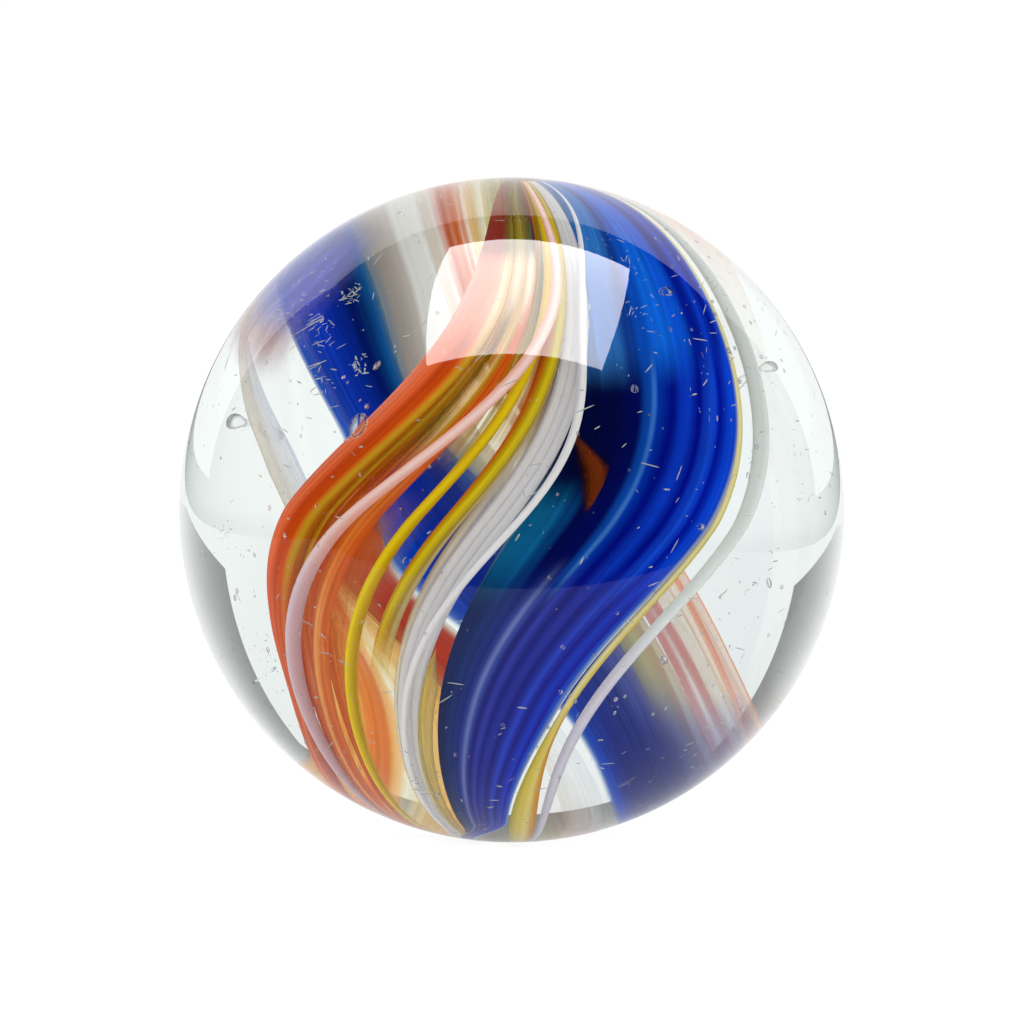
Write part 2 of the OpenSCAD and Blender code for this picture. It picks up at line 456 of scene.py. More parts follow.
def ramp(n, value, stops):
    """A colour, or a plain share, that changes with a value: its stops are in percent."""
    node = n.add("ShaderNodeValToRGB", {0: value})
    node.color_ramp.interpolation = "EASE"
    elements = node.color_ramp.elements
    for i, (percent, *tone) in enumerate(stops):
        element = elements[i] if i < 2 else elements.new(percent / 100)
        element.position = percent / 100
        element.color = colour(*tone) if len(tone) == 3 else (*tone * 3, 1.0)
    return n.out(node)


def noise(n, x, y, z, detail=2.0):
    vector = n.vector(x, y, z)
    node = n.add("ShaderNodeTexNoise", {"Vector": vector, "Scale": 1.0, "Detail": detail})
    return n.out(node)


def matt(n, tone, roughness):
    return n.add(
        "ShaderNodeBsdfPrincipled",
        {"Base Color": tone, "Roughness": roughness, "Specular IOR Level": 0.0},
    )


def rays(n, *kinds):
    """For each kind of ray, 1 where a ray is of that kind, else 0."""
    ray = n.add("ShaderNodeLightPath")
    return [n.out(ray, f"Is {kind} Ray") for kind in kinds]


def streaked_glass(name, tones, *changes, body=None, body_along=None, tint=(250, 250, 250),
                   wander=0.03, fine=0.12, thin=0.0, glow=0.7, seed=0.0, lines=26.0):
    """Coloured glass, drawn out into fine streaks along the strand.

    The tones go across the strand, and each change gives the levels over which others take
    their place. The body is how thickly the glass is coloured, across and along: what lacks
    in it is clear glass of the tint. The tones wander, fine is how strong the streaks are,
    thin how open the gaps between them, and glow how much light comes through from behind.
    """
    material, n = new_material(name)
    across, along, copy = [
        n.out(n.add("ShaderNodeAttribute", attribute_name=label), "Fac")
        for label in ("across", "along", "copy")
    ]

    def pattern(kind, width, detail=3.0):
        per_width, per_level, per_copy, own_seed = kind
        z = copy * per_copy + seed + own_seed
        return noise(n, width * per_width, along * per_level, z, detail)

    shifted = across + (pattern(DRIFT, across, 2.0) - 0.5) * wander
    tone = ramp(n, shifted, tones)
    for low, high, upper_tones in changes:
        upper = ramp(n, shifted, upper_tones)
        share = n.smooth_step(along, low, high)
        tone = n.add("ShaderNodeMix", {0: share, 6: tone, 7: upper}, data_type="RGBA").outputs[2]
    streak = (pattern(STREAKS, across * lines) - 0.5) * (STREAK_STRENGTH * fine)
    cloud = (pattern(CLOUDS, across) - 0.5) * fine
    shade = n.scaled(tone, 1.0 + streak + cloud)
    surface = matt(n, shade, STRAND_ROUGHNESS)
    through = n.add("ShaderNodeBsdfTranslucent", {"Color": shade})
    solid = n.add("ShaderNodeMixShader", {0: glow, 1: surface, 2: through})
    if not (body or body_along or thin):
        n.add("ShaderNodeOutputMaterial", {0: solid})
        return material
    cover = ramp(n, shifted, body) if body else 1.0
    if body_along:
        cover = ramp(n, along * 0.5 + 0.5, body_along) * cover
    if thin:
        gaps = n.smooth_step(pattern(GAPS, across * lines), *GAP_EDGES)
        cover = cover * (1.0 - gaps * thin)
    hue = n.add("ShaderNodeMix", {0: cover, 6: WHITE, 7: colour(*tint)}, data_type="RGBA")
    clear = n.add("ShaderNodeBsdfTransparent", {0: hue.outputs[2]})
    finish_material(n, cover, clear, solid)
    return material


def clear_glass():
    """Old clear glass. Lamps and soft light pass straight through it to the strands."""
    material, n = new_material("clear_old_glass")
    glass = n.add(
        "ShaderNodeBsdfPrincipled",
        {
            "Base Color": colour(*GLASS_TONE),
            "Roughness": 0.0,
            "IOR": GLASS_INDEX,
            "Transmission Weight": 1.0,
        },
    )
    straight = n.add("ShaderNodeBsdfTransparent", {0: colour(*STRAIGHT_TONE)})
    finish_material(n, n.most(*rays(n, "Shadow", "Diffuse")), glass, straight)
    return material


# --- the ball ---
def ball_tree():
    """A ball of nearly even squares: a cube whose faces are blown out onto a sphere."""
    n, size = geometry_tree("Blown ball", floats=("Ball Radius",), ints=("Cuts",))
    per_side = size("Cuts") + 1.0
    cube = n.add(
        "GeometryNodeMeshCube",
        {"Size": (2.0, 2.0, 2.0), **{f"Vertices {axis}": per_side for axis in "XYZ"}},
    )
    x, y, z = n.parts(n.add("GeometryNodeInputPosition"))
    even = [n.math("TANGENT", c * (pi / 4)) for c in (x, y, z)]
    position = n.scaled(n.unit(n.vector(*even)), size("Ball Radius"))
    placed = n.add(
        "GeometryNodeSetPosition", {"Geometry": cube.outputs["Mesh"], "Position": position}
    )
    return finish_tree(n, size, placed)


def make_ball():
    sizes = {"Ball Radius": BALL_R, "Cuts": BALL_CUTS, "Material": clear_glass()}
    ball = grown("clear_ball", ball_tree(), sizes)
    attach(ball, "root")
    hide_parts("clear_body")


# --- coloured glass and its strands ---
# A tone is how far across the strand it is, in percent, and its red, green and blue as on
# a screen. A step of a body is how far across or along it is, in percent, and how thickly
# the glass is coloured there.
FAINT_TOP = [(0, 1), (86, 1), (93, 0.35), (100, 0.35)]
FAINT_BELOW = [(0, 0.5), (29, 0.6), (37, 1), (100, 1)]
BLUE_OUTER_LINES = [
    (52, 0, 50, 160), (58, 0, 14, 130), (66, 10, 56, 186), (73, 0, 14, 140),
    (80, 20, 76, 210), (86, 0, 24, 160), (92, 10, 70, 214), (96, 20, 76, 206),
    (100, 196, 202, 206),
]
FAR_DEPTHS = (7.0, 7.0)


def soft(core, edge):
    """A body that melts into the clear glass at both edges."""
    return [(0, 0), (edge, core), (100 - edge, core), (100, 0)]


def make_warm_strands():
    """The orange, rose, yellow and olive strands at the left of the front."""
    # Its pale pink and cream tones from about level 0.4 to 0.7 are a painted reflection of the
    # softbox on the skin, laid over its own orange.
    orange = streaked_glass("orange_ribbon_glass", [
        (0, 226, 140, 116), (12, 222, 120, 92), (30, 226, 106, 70), (40, 196, 76, 50),
        (48, 230, 122, 76), (58, 196, 72, 36), (70, 226, 110, 60), (80, 200, 80, 40),
        (90, 230, 130, 70), (100, 206, 100, 50),
    ], (-0.26, -0.08, [
        (0, 232, 150, 120), (12, 234, 132, 96), (32, 236, 116, 66), (44, 222, 96, 46),
        (52, 200, 76, 24), (70, 206, 80, 16), (80, 220, 120, 30), (90, 206, 176, 40),
        (100, 200, 140, 30),
    ]), (0.38, 0.56, [
        (0, 226, 176, 160), (40, 230, 160, 136), (70, 234, 180, 156), (85, 238, 220, 184),
        (100, 226, 200, 140),
    ]), (0.64, 0.72, [
        (0, 150, 60, 50), (60, 140, 50, 40), (80, 120, 90, 40), (100, 150, 140, 60),
    ]), fine=0.1, glow=0.5, tint=(238, 120, 40), thin=0.2, body_along=FAINT_TOP)
    strand("orange_ribbon", "orange_glass", orange, (-76, 8, 0, 0, 0, 12), (-61, 4, 5),
           (6.35, 6.2), 0.6, ribs=5, rib_height=0.03, low_spread=0.2)
    # Its palest stripes are painted glints, and its pale cream tones from about level 0.5 to 0.7
    # are a painted reflection of the softbox on the skin, laid over its own colour.
    amber = streaked_glass("amber_ribbon_glass", [
        (0, 214, 110, 56), (12, 200, 86, 40), (24, 236, 140, 76), (34, 206, 92, 40),
        (46, 244, 150, 70), (60, 232, 130, 76), (74, 214, 130, 84), (84, 252, 190, 110),
        (100, 236, 136, 70),
    ], (-0.26, -0.08, [
        (0, 200, 160, 30), (14, 210, 176, 40), (20, 190, 90, 20), (34, 176, 76, 16),
        (46, 232, 120, 40), (60, 236, 110, 40), (74, 222, 130, 50), (84, 240, 150, 60),
        (100, 232, 120, 50),
    ]), (0.08, 0.26, [
        (0, 190, 150, 20), (16, 200, 170, 40), (26, 170, 120, 20), (40, 120, 100, 20),
        (52, 206, 180, 60), (62, 246, 230, 150), (70, 190, 160, 30), (80, 222, 110, 30),
        (100, 236, 120, 40),
    ]), (0.46, 0.6, [
        (0, 236, 214, 160), (30, 246, 242, 220), (60, 240, 226, 180), (80, 246, 240, 226),
        (100, 226, 190, 120),
    ]), (0.64, 0.72, [
        (0, 120, 110, 40), (40, 170, 166, 60), (70, 110, 120, 70), (100, 50, 60, 90),
    ]), fine=0.2, glow=0.6, seed=3.0, tint=(250, 170, 70), thin=0.5,
        body=[(0, 1), (36, 0.9), (44, 0.55), (62, 0.6), (70, 0.95), (85, 0.95), (100, 0.5)],
        body_along=FAINT_TOP)
    strand("amber_ribbon", "amber_glass", amber, (-62, 4, 5), (-42,), (5.9, 5.9), 0.5,
           ribs=4, rib_height=0.03)
    rose = streaked_glass("rose_thread_glass", [
        (0, 206, 176, 180), (50, 226, 210, 218), (100, 210, 172, 176),
    ], (-0.2, 0.0, [
        (0, 224, 168, 150), (50, 236, 214, 208), (100, 226, 170, 156),
    ]), fine=0.05, glow=0.5)
    thread("rose_thread", "rose_glass", rose, (-48, 14, 6), 6.6, 0.55, low_spread=-0.06)
    yellow = streaked_glass("yellow_thread_glass", [
        (0, 226, 190, 40), (50, 236, 214, 30), (100, 206, 170, 20),
    ], fine=0.2, glow=0.5)
    thread("yellow_thread", "yellow_glass", yellow, (-31.5, -4, -1.5, 0, 0, 0, -8), 5.6, 0.45)
    olive = streaked_glass("olive_strand_glass", [
        (0, 220, 110, 30), (18, 214, 140, 20), (30, 196, 170, 20), (50, 226, 206, 30),
        (70, 206, 186, 40), (85, 170, 150, 60), (100, 214, 200, 150),
    ], glow=0.55, tint=(240, 226, 170),
        body_along=[(0, 0), (30, 0), (42, 1), (100, 1)])
    thread("olive_strand", "olive_glass", olive, (-19.5, -9, -4), 5.4, 0.65)


def make_cold_strands():
    """The white and blue strands in the middle and at the right of the front."""
    # Its tones are lighter in the middle than at its lavender-grey edges: painted shade of its
    # roundness.
    white = streaked_glass("white_thread_glass", [
        (0, 226, 224, 232), (30, 250, 248, 246), (70, 250, 246, 244), (100, 226, 222, 224),
    ], fine=0.06)
    strand("fine_white_threads", "white_glass", white, (-11.7, -13, -6, 0, 0, 0, -14),
           (-7.3, -13, -6, 0, 0, 0, -14), (5.2, 5.2), 0.3, squareness=0.9, copies=3,
           pitch=3.5, sides=24)
    thread("bright_thread", "white_glass", white, (1.5, 0, -20, 0, 0, 0, -16), 5.7, 0.3)
    blue = streaked_glass("blue_ribbon_glass", [
        (0, 10, 76, 136), (4, 20, 50, 120), (14, 6, 44, 112), (24, 20, 50, 126),
        (32, 16, 40, 126), (36, 44, 62, 150), (40, 112, 126, 186), (44, 50, 70, 160),
        (48, 16, 24, 130), (53, 44, 54, 164), (58, 10, 20, 134), (64, 34, 50, 170),
        (69, 0, 14, 130), (76, 30, 60, 184), (82, 0, 16, 146), (88, 0, 50, 190), (93, 0, 20, 156),
        (96, 0, 70, 200), (98.5, 110, 140, 200), (100, 206, 212, 214),
    ], (-0.22, -0.06, [
        (0, 120, 176, 190), (4, 20, 130, 176), (16, 16, 110, 160), (24, 6, 70, 130),
        (30, 0, 10, 80), (42, 0, 8, 84), (47, 10, 70, 160), (49.5, 70, 130, 206),
        *BLUE_OUTER_LINES,
    ]), (0.02, 0.12, [
        (0, 60, 96, 140), (5, 0, 30, 84), (12, 0, 12, 66), (28, 0, 6, 62), (42, 0, 8, 84),
        (47, 10, 70, 160), (49.5, 60, 120, 206),
        *BLUE_OUTER_LINES,
    ]), (0.30, 0.42, [
        (0, 150, 170, 190), (8, 60, 130, 196), (34, 50, 120, 196), (40, 20, 64, 146),
        (45, 10, 76, 176), (56, 16, 106, 216), (68, 10, 84, 206), (76, 0, 24, 150),
        (84, 10, 60, 196), (90, 0, 24, 156), (95, 20, 70, 200), (100, 196, 202, 206),
    ]), fine=0.3, glow=0.5, wander=0.05, thin=0.15, tint=(30, 80, 210), lines=40.0)
    strand("blue_ribbon", "blue_glass", blue, (3, -12, -30, 0, 0, 0, -45),
           (61.6, -1, 0, 0, 0, -12, -38), (4.2, 6.5), 0.7, ribs=9, rib_height=0.04, sides=96)
    pale = streaked_glass("pale_edge_glass", [
        (0, 190, 176, 60), (35, 226, 206, 90), (60, 236, 220, 130), (85, 222, 170, 60),
        (100, 226, 150, 60),
    ], (-0.55, -0.4, [
        (0, 236, 232, 200), (60, 230, 214, 120), (100, 214, 180, 70),
    ]), fine=0.06, glow=0.55)
    strand("pale_edge", "pale_glass", pale, (62.2, -2, 0, 0, 0, -12), (65.2, -2, 0, 0, 0, 5),
           (6.5, 6.5), 0.35, squareness=1.0, sides=24)
    # Its tones are lighter in the middle than at its edges: painted shade of its roundness.
    lone = streaked_glass("lone_thread_glass", [
        (0, 196, 190, 202), (50, 222, 216, 226), (100, 200, 196, 206),
    ], (-0.4, -0.2, [
        (0, 206, 208, 204), (50, 230, 232, 230), (100, 204, 206, 204),
    ]), fine=0.05, glow=0.55)
    thread("lone_thread", "white_glass", lone, (69.5, -5), 7.1, 0.55)


def make_veils():
    """Colour of the front that has no edge of its own, and two short smears. Part of it is
    painted light: glints in the golden veil and shade in the milky one.
    """
    # Its near-white stripes are painted glints of light shining through it.
    golden = streaked_glass("golden_veil_glass", [
        (0, 226, 110, 30), (15, 222, 150, 30), (30, 196, 176, 30), (42, 130, 130, 60),
        (52, 255, 246, 210), (62, 222, 120, 30), (72, 250, 236, 190), (84, 190, 180, 60),
        (100, 222, 200, 130),
    ], fine=0.3, seed=8.0, thin=0.8, tint=(255, 236, 180), wander=0.1,
        body=[(0, 0.95), (85, 0.9), (100, 0.3)],
        body_along=[(0, 0), (55, 0), (62, 0.5), (68, 0.9), (100, 1)])
    strand("golden_veil", "amber_glass", golden, (-48, 4), (-5, -14, -10), (5.1, 4.7), 0.2,
           replaces=False)
    orange = streaked_glass("orange_veil_glass", [
        (0, 232, 110, 50), (35, 236, 130, 66), (60, 236, 160, 90), (100, 246, 210, 140),
    ], fine=0.25, glow=0.8, seed=18.0, thin=0.6, tint=(255, 206, 120), wander=0.12,
        body=[(0, 0.8), (40, 0.5), (70, 0.15), (100, 0)],
        body_along=[(0, 1), (46, 0.9), (54, 0), (100, 0)])
    strand("orange_veil", "orange_glass", orange, (-64, 4), (-26, 4), (5.2, 5.0), 0.2,
           replaces=False)
    # Its grey and lavender bands are painted shade between the white threads in front of it.
    milk = streaked_glass("milky_glass", [
        (0, 226, 206, 150), (12, 240, 232, 212), (30, 244, 238, 232), (40, 186, 178, 180),
        (50, 246, 244, 246), (58, 176, 178, 200), (66, 214, 216, 232), (76, 244, 242, 248),
        (84, 160, 168, 196), (92, 206, 212, 222), (100, 150, 166, 190),
    ], fine=0.35, seed=14.0, tint=(236, 232, 220), thin=0.4,
        body=[(0, 0.3), (10, 0.9), (20, 0.9), (25, 0.45), (30, 0.9), (52, 0.9),
              (58, 0.35), (64, 0.85), (78, 0.85), (84, 0.25), (100, 0.2)],
        body_along=[(0, 1), (60, 1), (70, 0.4), (100, 0.4)])
    strand("milky_veil", "white_glass", milk, (-17, -12, -6), (1, -2, -16), (4.9, 5.0), 0.2,
           replaces=False)
    ember = streaked_glass("ember_glass", [
        (0, 40, 10, 0), (50, 110, 44, 12), (100, 30, 6, 0),
    ], fine=0.5, glow=0.4, seed=22.0, body=[(0, 0), (35, 0.9), (60, 0.95), (100, 0)],
        body_along=[(0, 0), (50, 0), (53.5, 1), (57.5, 1), (62, 0), (100, 0)])
    strand("ember", "red_glass", ember, (24, -128), (38, -128), (5.25, 5.25), 0.15,
           bottom=0.0, top=0.24, tip=0.1, sides=24, replaces=False)
    khaki = streaked_glass("khaki_glass", [
        (0, 236, 216, 110), (30, 226, 206, 120), (60, 186, 176, 120), (100, 206, 196, 140),
    ], fine=0.2, tint=(255, 240, 190), thin=0.6,
        body=[(0, 0.9), (25, 0.8), (40, 0.3), (70, 0.3), (85, 0.8), (100, 0.7)])
    strand("khaki_strand", "olive_glass", khaki, (3.4, -4), (8.6, -7), (5.2, 5.2), 0.4,
           top=-0.3, tip=0.1, sides=24, replaces=False)


def make_far_strands():
    """The strands of the far side, seen through the clear gaps of the front."""
    orange = streaked_glass("far_orange_glass", [
        (0, 232, 120, 76), (14, 236, 130, 84), (28, 242, 200, 170), (50, 240, 236, 224),
        (100, 226, 186, 170),
    ], (-0.1, 0.15, [
        (0, 150, 60, 30), (30, 140, 130, 50), (42, 190, 186, 90), (54, 226, 214, 110),
        (64, 236, 196, 90), (74, 222, 120, 44), (100, 206, 86, 36),
    ]), body=[(0, 0.2), (12, 0.9), (50, 0.6), (90, 0.9), (100, 0.3)],
        tint=(252, 236, 220), fine=0.4, thin=0.7, wander=0.2, body_along=FAINT_BELOW)
    strand("far_orange_ribbon", "amber_glass", orange, (164.5, -9, 0, 0, -14),
           (168.8, -5, 0, 0, -4), FAR_DEPTHS, 0.5, far=True)
    cream = streaked_glass("far_cream_glass", [
        (0, 236, 230, 216), (100, 236, 230, 216),
    ], body=soft(0.8, 30), glow=0.6, body_along=FAINT_BELOW)
    thread("far_cream_thread", "pale_glass", cream, (171.3, -4.5, 0, 0, -5.5), 7.0, 0.35,
           far=True)
    red = streaked_glass("far_red_glass", [
        (0, 214, 140, 126), (50, 200, 100, 92), (100, 196, 130, 126),
    ], body=soft(0.8, 35), glow=0.6, wander=0.15, body_along=FAINT_BELOW)
    strand("far_red_ribbon", "red_glass", red, (173.8, -4), (177.3, -4, 0, 0, -13),
           FAR_DEPTHS, 0.5, top=0.02, tip=0.1, far=True)
    # This ribbon is the far side's white threads: its grey tones are painted shade where they lie
    # in shadow.
    grey = streaked_glass("far_grey_glass", [
        (0, 206, 170, 160), (30, 176, 176, 196), (100, 130, 140, 190),
    ], (-0.36, -0.26, [
        (0, 206, 170, 150), (40, 210, 206, 160), (70, 190, 190, 160), (100, 150, 160, 190),
    ]), (-0.1, 0.15, [
        (0, 250, 250, 244), (40, 246, 246, 240), (52, 208, 198, 188), (80, 192, 182, 172),
        (100, 150, 170, 186),
    ]), body=[(0, 0.1), (10, 0.8), (90, 0.95), (100, 0.95)], fine=0.06)
    strand("far_grey_ribbon", "grey_glass", grey, (178.5, -4, 0, 0, -12),
           (185.9, 0, 0, 0, -9), FAR_DEPTHS, 0.5, far=True)
    blue = streaked_glass("far_blue_glass", [
        (0, 176, 176, 206), (12, 110, 126, 190), (30, 60, 86, 170), (60, 30, 70, 176),
        (85, 10, 96, 214), (100, 130, 180, 236),
    ], (-0.1, 0.15, [
        (0, 120, 170, 190), (10, 30, 126, 190), (20, 10, 80, 150), (28, 0, 40, 130),
        (50, 16, 70, 190), (70, 30, 84, 210), (88, 40, 90, 200), (100, 160, 160, 206),
    ]), body=[(0, 0.8), (6, 0.95), (88, 0.95), (100, 0)], fine=0.35,
        tint=(90, 140, 220), wander=0.08)
    strand("far_blue_ribbon", "blue_glass", blue, (185.6, 0, 0, 0, -9), (198.5, 5, -4, 18),
           FAR_DEPTHS, 0.5, far=True)
    lone = streaked_glass("far_lone_glass", [
        (0, 170, 176, 216), (25, 240, 240, 244), (70, 240, 240, 236), (100, 206, 180, 140),
    ], body=[(0, 0.3), (30, 0.65), (80, 0.65), (100, 0.4)], fine=0.3, thin=0.3,
        body_along=[(0, 0.35), (35, 0.35), (45, 1), (100, 1)])
    strand("far_lone_thread", "white_glass", lone, (206, 20, 0, 15), (211.4, 20, 0, 15),
           (7.5, 7.5), 0.3, far=True)
    ruby = streaked_glass("far_ruby_glass", [
        (0, 220, 200, 150), (25, 206, 70, 40), (70, 210, 66, 30), (100, 216, 120, 60),
    ], body=[(0, 0.2), (20, 0.9), (100, 0.95)], fine=0.2, glow=0.6,
        body_along=[(0, 0), (32.5, 0), (36, 1), (100, 1)])
    strand("far_ruby_thread", "red_glass", ruby, (194.5, -15, 0, 18), (205.2, -20, 0, 18),
           FAR_DEPTHS, 0.45, bottom=-0.42, top=-0.06, tip=0.08, far=True)
    # Its cream and near-white stripes are a painted glow of light shining through it from behind.
    gold = streaked_glass("far_gold_glass", [
        (0, 206, 180, 90), (6, 226, 180, 100), (14, 240, 190, 110), (26, 246, 210, 130),
        (34, 255, 250, 225), (42, 255, 244, 190), (47, 246, 190, 80), (54, 232, 120, 50),
        (62, 240, 150, 66), (70, 255, 216, 120), (78, 240, 166, 70), (90, 240, 150, 70),
        (100, 232, 130, 60),
    ], body=[(0, 0.8), (14, 0.7), (28, 0.6), (34, 0.2), (42, 0.25), (49, 0.85),
             (84, 0.85), (92, 0), (100, 0)],
        fine=0.3, glow=0.8, tint=(255, 240, 180), wander=0.1, thin=0.4)
    strand("far_gold_ribbon", "gold_glass", gold, (205.2, -20, 0, 18), (243, 12), FAR_DEPTHS,
           0.5, top=-0.02, tip=0.24, far=True)


def make_hazes():
    """Two clouds of lavender-blue and brown under the far skin."""
    haze = streaked_glass("blue_haze_glass", [
        (0, 0, 50, 160), (35, 20, 60, 160), (60, 150, 146, 180), (100, 190, 180, 190),
    ], (0.2, 0.26, [
        (0, 200, 160, 130), (100, 196, 160, 136),
    ]), (0.48, 0.6, [
        (0, 20, 70, 190), (40, 60, 90, 190), (100, 110, 110, 190),
    ]), body=[(0, 0), (12, 0.9), (80, 0.85), (100, 0)],
        body_along=[(0, 0.9), (23, 0.85), (29, 0.55), (35, 0), (68, 0),
                    (76, 0.75), (84, 0.85), (93, 0), (100, 0)],
        fine=0.3, glow=0.6, thin=0.3, tint=(226, 226, 250), wander=0.1)
    strand("blue_haze", "blue_glass", haze, (198, 0), (280, 0), (7.6, 10.4), 0.2,
           bottom=0.1, top=0.88, tip=0.05, far=True, replaces=False)
    strand("blue_haze_low", "blue_glass", haze, (194, 0), (150, 0), (6.4, 6.4), 0.2,
           bottom=-0.9, top=-0.28, tip=0.05, far=True, replaces=False)


# --- bubbles and wear ---
BUBBLE_ROUNDNESS = 4
BUBBLE_CLEARNESS = 0.6  # the share of light that passes it unbent
SPECKS = {
    "Count": 800,
    "Deepest": 0.72,  # as a share of the ball's radius
    "Shallowest": 0.985,
    "Smallest": 0.02 * MM,
    "Largest": 0.09 * MM,
    "Longest": 1.6,  # against its width
    "Seed": 11,
}
SPECK_ROUNDNESS = 2
MARK_SUNK = 0.02 * MM  # how far under the skin a mark's middle is
MARK_FLATNESS = 0.4  # half its height, against that
MARK_SMALLEST = 0.25  # against the largest of its group
MARK_SHORTEST = 0.3
MARK_SEED, NICK_SEED = 30, 70
MARK_LIE = (0.5, 0.1, -0.8)
NICK_LIE = (0.3, 0.2, -0.9)
BRUISE_TONE = (150, 150, 146)
BRUISE_BODY = 0.8
BRUISE_GRAIN = 9000.0  # per metre
BRUISE_SHADES = (0.7, 0.6)  # how light its darkest grain is, and its lightest on top
BRUISE_ROUGHNESS = 0.7


def bubble_tree():
    """One seed bubble, drawn out by the pull of the cane."""
    n, size = geometry_tree("Seed bubble", vectors=("Middle", "Size", "Turn"))
    ball = n.add("GeometryNodeMeshIcoSphere", {"Subdivisions": BUBBLE_ROUNDNESS})
    placed = n.add(
        "GeometryNodeTransform",
        {
            "Geometry": ball,
            "Translation": size("Middle"),
            "Rotation": size("Turn"),
            "Scale": size("Size"),
        },
    )
    return finish_tree(n, size, placed)


def random_vector(n, seed):
    inputs = {0: (-1.0,) * 3, 1: (1.0,) * 3, "Seed": seed}
    return n.out(n.add("FunctionNodeRandomValue", inputs, data_type="FLOAT_VECTOR"))


def random_share(n, seed, low=0.0, high=1.0):
    inputs = {2: low, 3: high, "Seed": seed}
    return n.out(n.add("FunctionNodeRandomValue", inputs, data_type="FLOAT"), 1)


def scattered(n, size, way, reach, scale, **more):
    """A small ball at each of a count of points, at a reach from the middle."""
    position = n.scaled(way, reach)
    points = n.add("GeometryNodePoints", {"Count": size("Count"), "Position": position})
    shape = n.add("GeometryNodeMeshIcoSphere", {"Subdivisions": SPECK_ROUNDNESS})
    inputs = {"Points": points, "Instance": shape, "Scale": scale, **more}
    return n.add("GeometryNodeInstanceOnPoints", inputs)


def speck_tree():
    """Tiny bubbles all through the glass."""
    n, size = geometry_tree(
        "Specks",
        floats=("Ball Radius", "Deepest", "Shallowest", "Smallest", "Largest", "Longest"),
        ints=("Count", "Seed"),
    )
    seed = size("Seed")
    way = n.unit(random_vector(n, seed))
    depth = random_share(n, seed + 1.0, size("Deepest"), size("Shallowest"))
    share = random_share(n, seed + 2.0)
    width = size("Smallest") + (size("Largest") - size("Smallest")) * share * share * share
    stretch = n.vector(width, width, width * random_share(n, seed + 3.0, 1.0, size("Longest")))
    several = scattered(n, size, way, size("Ball Radius") * depth, stretch)
    return finish_tree(n, size, several)


def mark_tree():
    """Scratches and nicks round a spot on the skin: slivers lying flat just under it."""
    n, size = geometry_tree(
        "Marks",
        floats=("Ball Radius", "Sunk", "Spread", "Length", "Width", "Scatter"),
        ints=("Count", "Seed"),
        vectors=("Spot", "Lie"),
    )
    seed = size("Seed")
    away = n.scaled(random_vector(n, seed), size("Spread"))
    way = n.unit(n.vector_math("ADD", size("Spot"), away))
    lean = n.scaled(random_vector(n, seed + 1.0), size("Scatter"))
    upright = n.vector_math("ADD", size("Lie"), lean)
    along = n.unit(n.vector_math("CROSS_PRODUCT", way, upright))
    first = n.add("FunctionNodeAlignRotationToVector", {"Vector": along}, axis="X")
    turn = n.add(
        "FunctionNodeAlignRotationToVector",
        {"Rotation": first, "Vector": way},
        axis="Z",
        pivot_axis="X",
    )
    share = random_share(n, seed + 2.0, MARK_SMALLEST, 1.0)
    stretch = n.vector(
        size("Length") * share * random_share(n, seed + 3.0, MARK_SHORTEST, 1.0),
        size("Width") * share,
        size("Sunk") * MARK_FLATNESS,
    )
    reach = size("Ball Radius") - size("Sunk")
    several = scattered(n, size, way, reach, stretch, Rotation=turn)
    return finish_tree(n, size, several)


def joined(name, pieces):
    """One object from several grown ones."""
    whole = bmesh.new()
    for piece in pieces:
        whole.from_mesh(piece.data)
    mesh = bpy.data.meshes.new(name)
    whole.to_mesh(mesh)
    whole.free()
    for material in pieces[0].data.materials:
        mesh.materials.append(material)
    for piece in pieces:
        bpy.data.objects.remove(piece)
    obj = new_object(name, mesh)
    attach(obj, "root")


def air():
    """The inside of a bubble: light passes from glass to air and back."""
    material, n = new_material("bubble_air")
    gap = n.add(
        "ShaderNodeBsdfGlass", {"Color": WHITE, "Roughness": 0.0, "IOR": 1 / GLASS_INDEX}
    )
    straight = n.add("ShaderNodeBsdfTransparent", {0: WHITE})
    soft_rays = n.most(*rays(n, "Shadow", "Diffuse"))
    finish_material(n, n.most(soft_rays, BUBBLE_CLEARNESS), gap, straight)
    return material


def bruised_glass():
    """Worn skin: it scatters light, so it is dark on white and pale on blue."""
    material, n = new_material("bruised_glass")
    place = n.parts(n.add("ShaderNodeTexCoord").outputs["Object"])
    grain = noise(n, *[axis * BRUISE_GRAIN for axis in place])
    tone = n.scaled(colour(*BRUISE_TONE)[:3], BRUISE_SHADES[0] + grain * BRUISE_SHADES[1])
    clear = n.add("ShaderNodeBsdfTransparent", {0: WHITE})
    finish_material(n, BRUISE_BODY, clear, matt(n, tone, BRUISE_ROUGHNESS))
    return material


